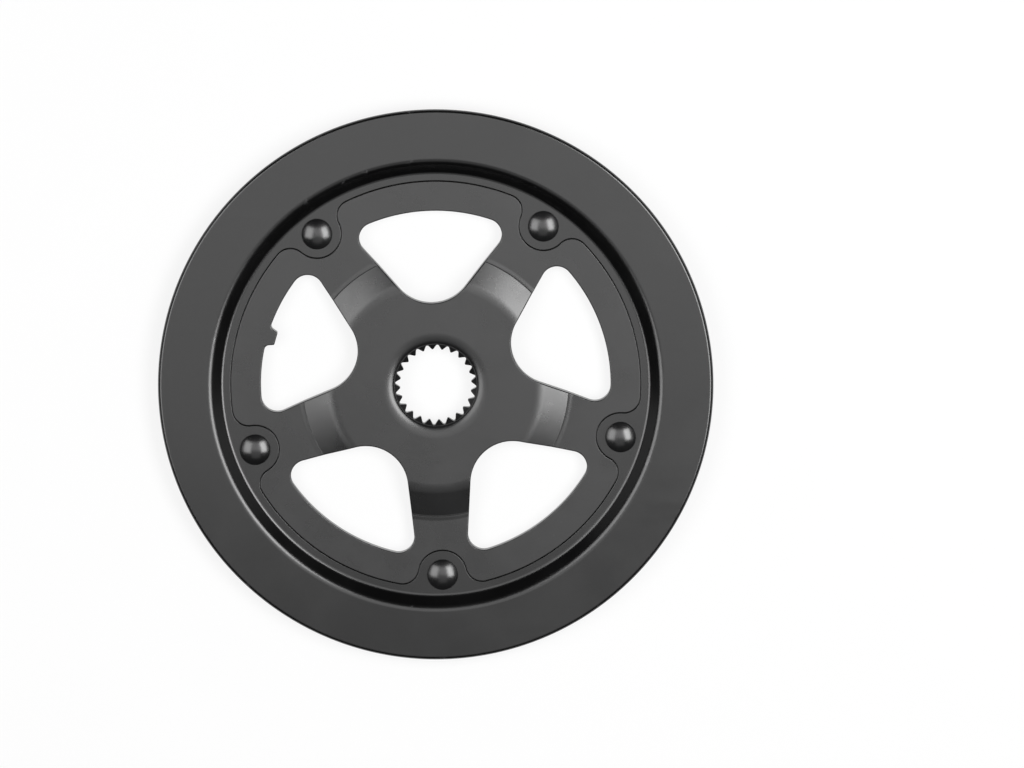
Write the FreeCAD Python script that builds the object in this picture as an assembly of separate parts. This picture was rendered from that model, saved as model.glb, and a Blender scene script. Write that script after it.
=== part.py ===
"""Bicycle sprocket: a stamped steel chainwheel with a splined hub and a chain guard held by five rivets.

Millimetres. +Z is the axis of rotation and points to the outer side, which carries the guard.
The origin is on that axis, in the plane of the hub's rear face, which seats on the drive shaft's
shoulder. +X and +Y lie in the wheel's plane.
"""
import FreeCAD, Part
import math
import os

# Chain teeth, for a half-inch roller chain
TEETH = 38
CHAIN_PITCH = 12.7
ROLLER_DIAMETER = 7.75
ROLLER_PLAY = 0.15
TOOTH_THICKNESS = 2.1
TOOTH_HEIGHT = 3.1
SEAT_HALF_ANGLE = 64.0
FLANK_RADIUS = 30.0
TIP_BEVEL_DEPTH = 0.5
TIP_BEVEL_LENGTH = 2.6

# Plate, and the step that raises the hub above the rim
PLATE_THICKNESS = 4.0
HUB_STEP = 2.5
STEP_START_RADIUS = 31.1
STEP_RUN = 10.8
STEP_BEND_RADIUS = 13.0
STEP_CREASE_RADIUS = 0.8

# Splined bore
SPLINE_TEETH = 24
SPLINE_FIRST_ROOT_ANGLE = 12.5
SPLINE_ROOT_RADIUS = 12.8
SPLINE_TIP_RADIUS = 11.25
SPLINE_LAND = 0.34
SPLINE_LEAD_IN = 1.1
MOUTH_WIDTH = 4.0
MOUTH_DEPTH = 1.2
MOUTH_STEP = 0.15

# Windows between the arms, and the index tab in one of them
ARMS = 5
FIRST_ARM_ANGLE = 56.0
WINDOW_OUTER_RADIUS = 55.1
WINDOW_APEX_RADIUS = 26.1
WINDOW_APEX_FILLET = 13.3
WINDOW_CORNER_FILLET = 5.0
WINDOW_SIDE_ANGLE = 40.7
WINDOW_EDGE_ROUND = 0.4
TAB_WINDOW = 1
TAB_LENGTH = 2.75
TAB_TIP_WIDTH = 4.0
TAB_FLARE_ANGLE = 20.0
TAB_FILLET = 1.5
TAB_CORNER_ROUND = 0.5

# Seat of the guard on the rim, which stands outside the rivet circle
SEAT_MARGIN = 3.85
SEAT_GAP = 0.25
SEAT_EDGE_ROUND = 0.2
LOBE_RADIUS = 7.8
LOBE_BLEND = 5.0

# Chain guard
GUARD_RADIUS = 87.5
GUARD_THICKNESS = 2.0
GUARD_RISE = 2.85
GUARD_FLANGE_WIDTH = 2.85
GUARD_WALL_ANGLE = 38.0
GUARD_FOOT_FILLET = 2.0
GUARD_LIP_FILLET = 3.5
GUARD_EDGE_FILLET = 1.2
GUARD_BACK_FILLET = 0.5

# Rivets
RIVET_CIRCLE_RADIUS = 60.65
RIVET_SHANK_RADIUS = 2.5
RIVET_HOLE_CLEARANCE = 0.05
RIVET_HEAD_RADIUS = 4.85
RIVET_HEAD_SIDE = 0.7
RIVET_DOME_RISE = 1.35
RIVET_BRIM_ROUND = 0.4
RIVET_TAIL_RADIUS = 4.0
RIVET_TAIL_HEIGHT = 1.4
RIVET_TAIL_FILLET = 0.6

# Levels and radii that follow from the sizes above
HUB_BACK = 0.0
HUB_FRONT = HUB_BACK + PLATE_THICKNESS
RIM_FRONT = HUB_FRONT - HUB_STEP
RIM_BACK = RIM_FRONT - PLATE_THICKNESS
TOOTH_FRONT = RIM_BACK + TOOTH_THICKNESS
GUARD_FRONT = RIM_FRONT + GUARD_RISE
PITCH_RADIUS = CHAIN_PITCH / 2 / math.sin(math.pi / TEETH)
ROLLER_SEAT_RADIUS = (ROLLER_DIAMETER + ROLLER_PLAY) / 2
TOOTH_TIP_RADIUS = PITCH_RADIUS + TOOTH_HEIGHT
ARM_SPACING = 360.0 / ARMS
STEP_END_RADIUS = STEP_START_RADIUS + STEP_RUN
SEAT_RADIUS = RIVET_CIRCLE_RADIUS + SEAT_MARGIN
GUARD_WALL_FOOT_RADIUS = SEAT_RADIUS + GUARD_FLANGE_WIDTH
CUT_MARGIN = 5.0
TOLERANCE = 0.01

Z_AXIS = FreeCAD.Vector(0, 0, 1)
ORIGIN = FreeCAD.Vector(0, 0, 0)


def polar(radius, degrees, z=0.0):
    """Point at a radius and an angle about the wheel's axis."""
    angle = math.radians(degrees)
    return FreeCAD.Vector(radius * math.cos(angle), radius * math.sin(angle), z)


def line(start, end):
    return Part.LineSegment(start, end).toShape()


def arc(start, middle, end):
    return Part.Arc(start, middle, end).toShape()


def arc_about(centre, start, end):
    """The shorter arc from start to end about a centre in the XY plane or a section plane."""
    radius = (start - centre).Length
    bisector = (start - centre) + (end - centre)
    middle = centre + bisector.normalize() * radius
    return arc(start, middle, end)


def section(radius, z):
    """Point of a turned section, in the XZ plane."""
    return FreeCAD.Vector(radius, 0, z)


def revolve(edges):
    """Solid turned from a closed section about the wheel's axis."""
    return Part.Face(Part.Wire(edges)).revolve(ORIGIN, Z_AXIS, 360)


def prism(edges, bottom, top):
    """Upright solid between two levels, from a closed outline in the XY plane."""
    face = Part.Face(Part.Wire(edges))
    face.translate(FreeCAD.Vector(0, 0, bottom))
    return face.extrude(FreeCAD.Vector(0, 0, top - bottom))


def around(shape, count, first_angle=0.0):
    """Copies of a shape, evenly spaced about the wheel's axis."""
    copies = []
    for index in range(count):
        copy = shape.copy()
        copy.rotate(ORIGIN, Z_AXIS, first_angle + index * 360.0 / count)
        copies.append(copy)
    return copies


def fillet_corner(before, corner, after, radius):
    """Tangent points and arc that round a corner between two straight runs of a section."""
    to_before = (before - corner).normalize()
    to_after = (after - corner).normalize()
    half_angle = to_before.getAngle(to_after) / 2
    reach = radius / math.tan(half_angle)
    start = corner + to_before * reach
    end = corner + to_after * reach
    bisector = (to_before + to_after).normalize()
    centre = corner + bisector * (radius / math.sin(half_angle))
    return start, end, arc(start, centre - bisector * radius, end)


def rounded_section(points, radii):
    """Closed outline through points, each corner rounded by its radius (0 leaves it sharp)."""
    edges = []
    ends = []
    for index, corner in enumerate(points):
        if radii[index] > 0:
            before = points[index - 1]
            after = points[(index + 1) % len(points)]
            start, end, edge = fillet_corner(before, corner, after, radii[index])
            ends.append((start, end, edge))
        else:
            ends.append((corner, corner, None))
    for index, (start, end, edge) in enumerate(ends):
        if edge is not None:
            edges.append(edge)
        next_start = ends[(index + 1) % len(ends)][0]
        edges.append(line(end, next_start))
    return edges


def wall_edges(shape, inner, outer):
    """Edges along the top and bottom of the upright walls that lie between two radii."""
    edges = []
    for face in shape.Faces:
        first_u, last_u, first_v, last_v = face.ParameterRange
        upright = abs(face.normalAt((first_u + last_u) / 2, (first_v + last_v) / 2).z) < TOLERANCE
        radii = [math.hypot(vertex.X, vertex.Y) for vertex in face.Vertexes]
        if upright and min(radii) > inner - TOLERANCE and max(radii) < outer + TOLERANCE:
            for edge in face.Edges:
                start, end = edge.Vertexes[0], edge.Vertexes[-1]
                if math.hypot(start.X - end.X, start.Y - end.Y) > TOLERANCE:
                    edges.append(edge)
    return edges


def seat_edges(shape):
    """Front edges of the lobed joint between rim and guard."""
    walls = wall_edges(shape, RIVET_CIRCLE_RADIUS - LOBE_RADIUS, SEAT_RADIUS + SEAT_GAP)
    return [edge for edge in walls if abs(edge.BoundBox.ZMin - RIM_FRONT) < TOLERANCE]


def hub_step_edges(bend_radius, crease_radius, hub_level, rim_level):
    """Bend, slope and crease that lead one face of the plate from the hub down to the rim."""
    bend_centre = section(STEP_START_RADIUS, hub_level - bend_radius)
    crease_centre = section(STEP_END_RADIUS, rim_level + crease_radius)
    run = crease_centre - bend_centre
    slope = math.asin((bend_radius + crease_radius) / run.Length) - math.atan2(run.z, run.x)
    normal = section(math.sin(slope), math.cos(slope))
    bend_end = bend_centre + normal * bend_radius
    crease_start = crease_centre - normal * crease_radius
    return [
        arc_about(bend_centre, section(STEP_START_RADIUS, hub_level), bend_end),
        line(bend_end, crease_start),
        arc_about(crease_centre, crease_start, section(STEP_END_RADIUS, rim_level)),
    ]


def bore_mouth():
    """Rounded front edge of the bore, a quarter of a flat ellipse, from the hub's face inwards."""
    inner = SPLINE_ROOT_RADIUS + MOUTH_STEP
    centre = section(inner + MOUTH_WIDTH, HUB_FRONT - MOUTH_DEPTH)
    wide = centre + section(MOUTH_WIDTH, 0)
    high = centre + section(0, MOUTH_DEPTH)
    ellipse = Part.Ellipse(wide, high, centre)
    return Part.ArcOfEllipse(ellipse, math.pi / 2, math.pi).toShape()


def plate_body():
    """The chainwheel as turned: hub, step, rim and bevelled tooth band, with only a plain bore."""
    mouth_radius = SPLINE_ROOT_RADIUS + MOUTH_STEP
    mouth_foot = section(mouth_radius, HUB_FRONT - MOUTH_DEPTH)
    mouth_top = section(mouth_radius + MOUTH_WIDTH, HUB_FRONT)
    spline_front = section(SPLINE_TIP_RADIUS, HUB_FRONT - MOUTH_DEPTH - SPLINE_LEAD_IN)
    bore_back = section(SPLINE_TIP_RADIUS, HUB_BACK)
    back_step = hub_step_edges(
        STEP_BEND_RADIUS - PLATE_THICKNESS, STEP_CREASE_RADIUS + PLATE_THICKNESS, HUB_BACK, RIM_BACK
    )
    front_step = hub_step_edges(STEP_BEND_RADIUS, STEP_CREASE_RADIUS, HUB_FRONT, RIM_FRONT)
    bevel_start = TOOTH_TIP_RADIUS - TIP_BEVEL_LENGTH
    outline = [
        section(STEP_END_RADIUS, RIM_BACK),
        section(bevel_start, RIM_BACK),
        section(TOOTH_TIP_RADIUS, RIM_BACK + TIP_BEVEL_DEPTH),
        section(TOOTH_TIP_RADIUS, TOOTH_FRONT - TIP_BEVEL_DEPTH),
        section(bevel_start, TOOTH_FRONT),
        section(SEAT_RADIUS, TOOTH_FRONT),
        section(SEAT_RADIUS, RIM_FRONT),
        section(STEP_END_RADIUS, RIM_FRONT),
    ]
    edges = [line(bore_back, section(STEP_START_RADIUS, HUB_BACK))]
    edges += back_step
    edges += [line(start, end) for start, end in zip(outline, outline[1:])]
    edges += front_step
    edges.append(line(section(STEP_START_RADIUS, HUB_FRONT), mouth_top))
    edges.append(bore_mouth())
    edges.append(line(mouth_foot, spline_front))
    edges.append(line(spline_front, bore_back))
    return revolve(Part.__sortEdges__(edges))


def tooth_gap():
    """Prism that cuts the space between two teeth, with the gap's middle on +X."""
    seat_centre = FreeCAD.Vector(PITCH_RADIUS, 0, 0)
    half = math.radians(SEAT_HALF_ANGLE)
    outward = FreeCAD.Vector(-math.cos(half), math.sin(half), 0)
    seat_end = seat_centre + outward * ROLLER_SEAT_RADIUS
    flank_centre = seat_end + outward * FLANK_RADIUS
    flank_start_angle = math.atan2(-outward.y, -outward.x)
    clear_radius = TOOTH_TIP_RADIUS + ROLLER_SEAT_RADIUS
    sweep = (clear_radius - seat_end.x) / FLANK_RADIUS
    flank = []
    for share in (0.5, 1.0):
        angle = flank_start_angle + sweep * share
        flank.append(flank_centre + FreeCAD.Vector(math.cos(angle), math.sin(angle), 0) * FLANK_RADIUS)
    mirrored = [FreeCAD.Vector(point.x, -point.y, 0) for point in [seat_end] + flank]
    seat_bottom = FreeCAD.Vector(PITCH_RADIUS - ROLLER_SEAT_RADIUS, 0, 0)
    edges = [
        arc(mirrored[0], seat_bottom, seat_end),
        arc(seat_end, flank[0], flank[1]),
        line(flank[1], mirrored[2]),
        arc(mirrored[2], mirrored[1], mirrored[0]),
    ]
    return prism(edges, RIM_BACK - CUT_MARGIN, TOOTH_FRONT + CUT_MARGIN)


def spline_space():
    """Prism that cuts all the spaces of the splined bore."""
    half_pitch = 180.0 / SPLINE_TEETH
    root_half = math.degrees(SPLINE_LAND / 2 / SPLINE_ROOT_RADIUS)
    tip_half = math.degrees(SPLINE_LAND / 2 / SPLINE_TIP_RADIUS)
    edges = []
    for index in range(SPLINE_TEETH):
        middle = SPLINE_FIRST_ROOT_ANGLE + index * 2 * half_pitch
        root_start = polar(SPLINE_ROOT_RADIUS, middle - root_half)
        root_end = polar(SPLINE_ROOT_RADIUS, middle + root_half)
        tip_start = polar(SPLINE_TIP_RADIUS, middle + half_pitch - tip_half)
        tip_end = polar(SPLINE_TIP_RADIUS, middle + half_pitch + tip_half)
        next_root = polar(SPLINE_ROOT_RADIUS, middle + 2 * half_pitch - root_half)
        edges.append(arc(root_start, polar(SPLINE_ROOT_RADIUS, middle), root_end))
        edges.append(line(root_end, tip_start))
        edges.append(arc(tip_start, polar(SPLINE_TIP_RADIUS, middle + half_pitch), tip_end))
        edges.append(line(tip_end, next_root))
    return prism(edges, HUB_BACK - CUT_MARGIN, HUB_FRONT + CUT_MARGIN)


def window_points():
    """Tangent points of the upper half of a window whose middle lies on +X."""
    angle = math.radians(WINDOW_SIDE_ANGLE)
    along = FreeCAD.Vector(math.cos(angle), math.sin(angle), 0)
    across = FreeCAD.Vector(-math.sin(angle), math.cos(angle), 0)
    apex_centre = FreeCAD.Vector(WINDOW_APEX_RADIUS + WINDOW_APEX_FILLET, 0, 0)
    base = apex_centre + across * (WINDOW_APEX_FILLET - WINDOW_CORNER_FILLET)
    reach = WINDOW_OUTER_RADIUS - WINDOW_CORNER_FILLET
    projection = base.dot(along)
    travel = -projection + math.sqrt(projection ** 2 - base.dot(base) + reach ** 2)
    corner_centre = base + along * travel
    apex_end = apex_centre + across * WINDOW_APEX_FILLET
    side_end = corner_centre + across * WINDOW_CORNER_FILLET
    outer_end = corner_centre * (WINDOW_OUTER_RADIUS / reach)
    return apex_end, side_end, corner_centre, outer_end


def window():
    """Prism that cuts one window between two arms, with the window's middle on +X."""
    apex_end, side_end, corner_centre, outer_end = window_points()
    low = [FreeCAD.Vector(p.x, -p.y, 0) for p in (apex_end, side_end, corner_centre, outer_end)]
    edges = [
        arc(low[0], polar(WINDOW_APEX_RADIUS, 0), apex_end),
        line(apex_end, side_end),
        arc_about(corner_centre, side_end, outer_end),
        arc(outer_end, polar(WINDOW_OUTER_RADIUS, 0), low[3]),
        arc_about(low[2], low[3], low[1]),
        line(low[1], low[0]),
    ]
    return prism(edges, RIM_BACK - CUT_MARGIN, HUB_FRONT + CUT_MARGIN)


def index_tab():
    """Small flared tab on a window's outer edge, pointing at the hub along -X, with rounded corners."""
    flare = math.tan(math.radians(TAB_FLARE_ANGLE))
    tip = WINDOW_OUTER_RADIUS - TAB_LENGTH
    base = WINDOW_OUTER_RADIUS + TAB_FILLET
    tip_half = TAB_TIP_WIDTH / 2
    base_half = tip_half + (base - tip) * flare
    corners = [(tip, tip_half), (base, base_half), (base, -base_half), (tip, -tip_half)]
    points = [FreeCAD.Vector(x, y, 0) for x, y in corners]
    edges = rounded_section(points, [TAB_CORNER_ROUND, 0, 0, TAB_CORNER_ROUND])
    return prism(edges, RIM_BACK - CUT_MARGIN, HUB_FRONT + CUT_MARGIN)


def tab_window():
    """Window with the index tab left standing in it, on filleted roots."""
    opened = window().cut(index_tab())
    roots = []
    for edge in opened.Edges:
        ends = [vertex.Point for vertex in edge.Vertexes]
        upright = len(ends) == 2 and abs(ends[0].z - ends[1].z) > CUT_MARGIN
        radius = math.hypot(ends[0].x, ends[0].y)
        near_tab = abs(ends[0].y) < TAB_TIP_WIDTH and ends[0].x > WINDOW_OUTER_RADIUS / 2
        if upright and near_tab and abs(radius - WINDOW_OUTER_RADIUS) < TAB_FILLET / 2:
            roots.append(edge)
    return opened.makeFillet(TAB_FILLET, roots)


def lobed_outline(offset):
    """Rim shoulder with a lobe round each rivet, moved outward by an offset."""
    ring = SEAT_RADIUS + offset
    lobe = LOBE_RADIUS - offset
    blend = LOBE_BLEND + offset
    reach = ring - blend
    cosine = (reach ** 2 + RIVET_CIRCLE_RADIUS ** 2 - (lobe + blend) ** 2) / (2 * reach * RIVET_CIRCLE_RADIUS)
    swing = math.degrees(math.acos(cosine))
    edges = []
    for index in range(ARMS):
        arm = FIRST_ARM_ANGLE + index * ARM_SPACING
        rivet = polar(RIVET_CIRCLE_RADIUS, arm)
        blends = [polar(reach, arm - swing), polar(reach, arm + swing)]
        on_ring = [polar(ring, arm - swing), polar(ring, arm + swing)]
        on_lobe = [rivet + (centre - rivet).normalize() * lobe for centre in blends]
        next_ring = polar(ring, arm + ARM_SPACING - swing)
        edges.append(arc_about(blends[0], on_ring[0], on_lobe[0]))
        edges.append(arc(on_lobe[0], polar(RIVET_CIRCLE_RADIUS - lobe, arm), on_lobe[1]))
        edges.append(arc_about(blends[1], on_lobe[1], on_ring[1]))
        edges.append(arc(on_ring[1], polar(ring, arm + ARM_SPACING / 2), next_ring))
    return edges


def rivet_holes(bottom, top):
    hole = Part.makeCylinder(
        RIVET_SHANK_RADIUS + RIVET_HOLE_CLEARANCE,
        top - bottom,
        FreeCAD.Vector(RIVET_CIRCLE_RADIUS, 0, bottom),
    )
    return around(hole, ARMS, FIRST_ARM_ANGLE)


def chainwheel():
    """One stamped piece: toothed rim, guard seat, five arms, raised hub and splined bore."""
    windows = around(window(), ARMS, FIRST_ARM_ANGLE + ARM_SPACING / 2)
    windows[TAB_WINDOW] = tab_window()
    windows[TAB_WINDOW].rotate(ORIGIN, Z_AXIS, FIRST_ARM_ANGLE + (TAB_WINDOW + 0.5) * ARM_SPACING)
    wheel = plate_body().cut(windows)
    wheel = wheel.makeFillet(WINDOW_EDGE_ROUND, wall_edges(wheel, WINDOW_APEX_RADIUS, WINDOW_OUTER_RADIUS))
    ring = Part.makeCylinder(SEAT_RADIUS + CUT_MARGIN, PLATE_THICKNESS, FreeCAD.Vector(0, 0, TOOTH_FRONT))
    wheel = wheel.cut(ring.cut(prism(lobed_outline(0.0), TOOTH_FRONT - CUT_MARGIN, RIM_FRONT + CUT_MARGIN)))
    wheel = wheel.makeFillet(SEAT_EDGE_ROUND, seat_edges(wheel))
    gaps = around(tooth_gap(), TEETH, FIRST_ARM_ANGLE)
    holes = rivet_holes(RIM_BACK - CUT_MARGIN, RIM_FRONT + CUT_MARGIN)
    return wheel.cut([spline_space()] + holes).cut(gaps)


def chain_guard():
    """Moulded ring: flush lobed flange, steep wall and a wide flat band in front of the chain."""
    angle = math.radians(GUARD_WALL_ANGLE)
    slope = math.tan(angle)
    lip_radius = GUARD_WALL_FOOT_RADIUS + GUARD_RISE / slope
    band_back = GUARD_FRONT - GUARD_THICKNESS
    wall_shift = GUARD_THICKNESS / math.sin(angle)
    back_foot = GUARD_WALL_FOOT_RADIUS + wall_shift + (TOOTH_FRONT - RIM_FRONT) / slope
    back_lip = GUARD_WALL_FOOT_RADIUS + wall_shift + (band_back - RIM_FRONT) / slope
    flange_inner = RIVET_CIRCLE_RADIUS - LOBE_RADIUS
    points = [
        section(flange_inner, RIM_FRONT),
        section(GUARD_WALL_FOOT_RADIUS, RIM_FRONT),
        section(lip_radius, GUARD_FRONT),
        section(GUARD_RADIUS, GUARD_FRONT),
        section(GUARD_RADIUS, band_back),
        section(back_lip, band_back),
        section(back_foot, TOOTH_FRONT),
        section(flange_inner, TOOTH_FRONT),
    ]
    radii = [
        0,
        GUARD_FOOT_FILLET,
        GUARD_LIP_FILLET,
        GUARD_EDGE_FILLET,
        GUARD_BACK_FILLET,
        GUARD_BACK_FILLET,
        GUARD_BACK_FILLET,
        0,
    ]
    ring = revolve(rounded_section(points, radii))
    opening = prism(lobed_outline(SEAT_GAP), TOOTH_FRONT - CUT_MARGIN, GUARD_FRONT + CUT_MARGIN)
    guard = ring.cut(opening)
    guard = guard.makeFillet(SEAT_EDGE_ROUND, seat_edges(guard))
    return guard.cut(rivet_holes(TOOTH_FRONT - CUT_MARGIN, RIM_FRONT + CUT_MARGIN))


def rivet():
    """Dome-head rivet on +X, its shank through guard and plate, its tail formed flat at the back."""
    dome_radius = (RIVET_HEAD_RADIUS ** 2 + RIVET_DOME_RISE ** 2) / (2 * RIVET_DOME_RISE)
    crown = section(0, RIM_FRONT + RIVET_HEAD_SIDE + RIVET_DOME_RISE)
    dome_centre = crown - Z_AXIS * dome_radius
    brim_radius = RIVET_HEAD_RADIUS - RIVET_BRIM_ROUND
    brim_rise = math.sqrt((dome_radius - RIVET_BRIM_ROUND) ** 2 - brim_radius ** 2)
    brim_centre = section(brim_radius, dome_centre.z + brim_rise)
    brim_top = dome_centre + (brim_centre - dome_centre).normalize() * dome_radius
    brim_side = section(RIVET_HEAD_RADIUS, brim_centre.z)
    head_foot = section(RIVET_HEAD_RADIUS, RIM_FRONT)
    tail_end = RIM_BACK - RIVET_TAIL_HEIGHT
    tail_side, tail_foot, tail_arc = fillet_corner(
        section(RIVET_TAIL_RADIUS, RIM_BACK),
        section(RIVET_TAIL_RADIUS, tail_end),
        section(0, tail_end),
        RIVET_TAIL_FILLET,
    )
    edges = [
        arc_about(dome_centre, crown, brim_top),
        arc_about(brim_centre, brim_top, brim_side),
        line(brim_side, head_foot),
        line(head_foot, section(RIVET_SHANK_RADIUS, RIM_FRONT)),
        line(section(RIVET_SHANK_RADIUS, RIM_FRONT), section(RIVET_SHANK_RADIUS, RIM_BACK)),
        line(section(RIVET_SHANK_RADIUS, RIM_BACK), section(RIVET_TAIL_RADIUS, RIM_BACK)),
        line(section(RIVET_TAIL_RADIUS, RIM_BACK), tail_side),
        tail_arc,
        line(tail_foot, section(0, tail_end)),
        line(section(0, tail_end), crown),
    ]
    turned = revolve(edges)
    turned.translate(FreeCAD.Vector(RIVET_CIRCLE_RADIUS, 0, 0))
    return turned


def guard_rivets():
    return Part.makeCompound(around(rivet(), ARMS, FIRST_ARM_ANGLE))


def export(name, shape):
    """Write one sub-part as STEP, after checking that each of its solids is sound."""
    solids = shape.Solids
    for solid in solids:
        if not solid.isValid() or solid.Volume <= 0:
            raise ValueError(name + " has a solid that is not sound")
    Part.makeCompound(solids).exportStep(os.path.join("parts", name + ".step"))
    print(name, len(solids), "solids", round(sum(solid.Volume for solid in solids)), "mm3")


def main():
    os.makedirs("parts", exist_ok=True)
    export("chainwheel", chainwheel())
    export("chain_guard", chain_guard())
    export("guard_rivets", guard_rivets())


main()
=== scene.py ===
"""Looks of a bicycle sprocket: a black coated chainwheel, its chain guard and the rivets between them.

The file is laid out as an add-on and is run as a script. Lengths are metres, in the CAD part's own
frame: +Z is the wheel's axis and points to the outer side, and the part lies on its rivet tails.
"""
import math

import bpy
import numpy as np
from bpy.props import FloatProperty, FloatVectorProperty, IntProperty, PointerProperty
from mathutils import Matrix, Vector
from mathutils.geometry import delaunay_2d_cdt


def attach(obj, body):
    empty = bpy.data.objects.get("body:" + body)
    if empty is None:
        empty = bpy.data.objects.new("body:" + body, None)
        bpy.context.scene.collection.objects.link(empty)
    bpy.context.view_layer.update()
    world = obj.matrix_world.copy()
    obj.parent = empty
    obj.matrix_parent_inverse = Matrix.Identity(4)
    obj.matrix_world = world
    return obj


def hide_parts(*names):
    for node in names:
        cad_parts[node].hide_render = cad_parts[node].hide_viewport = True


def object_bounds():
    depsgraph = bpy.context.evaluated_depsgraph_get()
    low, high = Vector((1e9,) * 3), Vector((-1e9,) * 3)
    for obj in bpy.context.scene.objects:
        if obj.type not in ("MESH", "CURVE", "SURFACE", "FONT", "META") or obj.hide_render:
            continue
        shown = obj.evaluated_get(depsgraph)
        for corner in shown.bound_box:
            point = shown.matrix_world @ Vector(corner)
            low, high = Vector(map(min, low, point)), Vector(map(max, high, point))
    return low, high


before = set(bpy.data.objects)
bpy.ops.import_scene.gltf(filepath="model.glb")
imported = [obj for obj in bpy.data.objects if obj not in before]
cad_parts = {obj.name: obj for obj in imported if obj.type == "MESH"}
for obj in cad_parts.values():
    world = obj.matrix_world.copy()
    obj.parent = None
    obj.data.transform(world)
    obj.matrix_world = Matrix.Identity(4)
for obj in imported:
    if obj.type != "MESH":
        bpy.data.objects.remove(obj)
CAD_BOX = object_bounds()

bl_info = {
    "name": "Bicycle Sprocket",
    "version": (1, 0, 0),
    "blender": (4, 5, 0),
    "location": "View3D > Sidebar > Sprocket",
    "description": "Builds a chainwheel with a splined hub, its chain guard, rivets and a photo stage",
    "category": "Add Mesh",
}

MM = 0.001
PHOTO_WIDTH_PX = 1024
EDGE_LAYER = "rounded_edge"
QUARTER_TURN = math.pi / 2
AXIS = Vector((0, 0))

# Which side of an arc the material lies on: outside it, or on its centre's side
HOLLOW = 1
BULGE = -1

# Which way a face of the plate looks
FRONT = 1
BACK = -1

# Fineness of the meshes, and what counts as the same place, in metres where the name gives no unit
ARM_SPACING = 1.2 * MM
BEND_STEPS = 5
HOLE_STEPS = 32
HALVINGS = 50
CLOSE_SHARE = 0.2
SAME_RADIUS = 1e-7
SAME_POINT_MM = 1e-7
SMALLEST_AREA = 1e-16
ON_AXIS = 1e-9
NOT_ZERO = 1e-30

# Sockets of the Mix node where it mixes colours
MIX_FACTOR, MIX_FIRST, MIX_SECOND, MIX_RESULT = 0, 6, 7, 2

# How the finishes use their effects
RUBBED_COVER = 0.7
RUBBED_POLISH = 0.08
GRAIN_STRENGTH = 0.35

# Floor and camera
FLOOR_TINT = 0.985
FLOOR_ROUGHNESS = 0.9
CAMERA_NEAR = 0.05


# Properties

def length(name, description, millimetres):
    """Length property with its default in millimetres."""
    return FloatProperty(
        name=name, description=description, default=millimetres * MM, unit="LENGTH", precision=5
    )


def angle(name, description, degrees):
    """Angle property with its default in degrees."""
    return FloatProperty(
        name=name, description=description, default=math.radians(degrees), unit="ROTATION"
    )


def colour(name, description, rgb):
    """Linear colour property."""
    return FloatVectorProperty(
        name=name, description=description, default=rgb, size=3, min=0.0, max=1.0, subtype="COLOR"
    )


def share(name, description, value):
    """Property between 0 and 1."""
    return FloatProperty(
        name=name, description=description, default=value, min=0.0, max=1.0, subtype="FACTOR"
    )


def brightness(name, description, value):
    """Radiance property of a lamp's face, where 1 is the white of the picture."""
    return FloatProperty(name=name, description=description, default=value, min=0.0)


class ToothSizes(bpy.types.PropertyGroup):
    """Chain teeth of the wheel."""

    count: IntProperty(name="Teeth", description="Number of chain teeth", default=38, min=12)
    pitch: length("Chain pitch", "Distance between neighbouring chain rollers", 12.7)
    seat_radius: length("Roller seat radius", "Radius of the round seat of a chain roller", 3.95)
    seat_half_angle: angle("Seat half angle", "Half of the angle that a roller seat spans", 64.0)
    flank_radius: length("Flank radius", "Radius of a tooth's bulging flank", 30.0)
    height: length("Height", "Height of a tooth above the chain's pitch circle", 3.1)
    thickness: length("Thickness", "Thickness of the tooth band", 2.1)
    bevel_length: length("Bevel length", "Radial length of the bevel on a tooth's faces", 2.6)
    bevel_depth: length("Bevel depth", "How far the bevel thins a tooth on each face", 0.5)
    corner_radius: length("Tip corner radius", "Round of a tooth tip's two corners", 0.25)
    edge_round: length("Edge round", "Round along a tooth's edges", 0.18)


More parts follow.
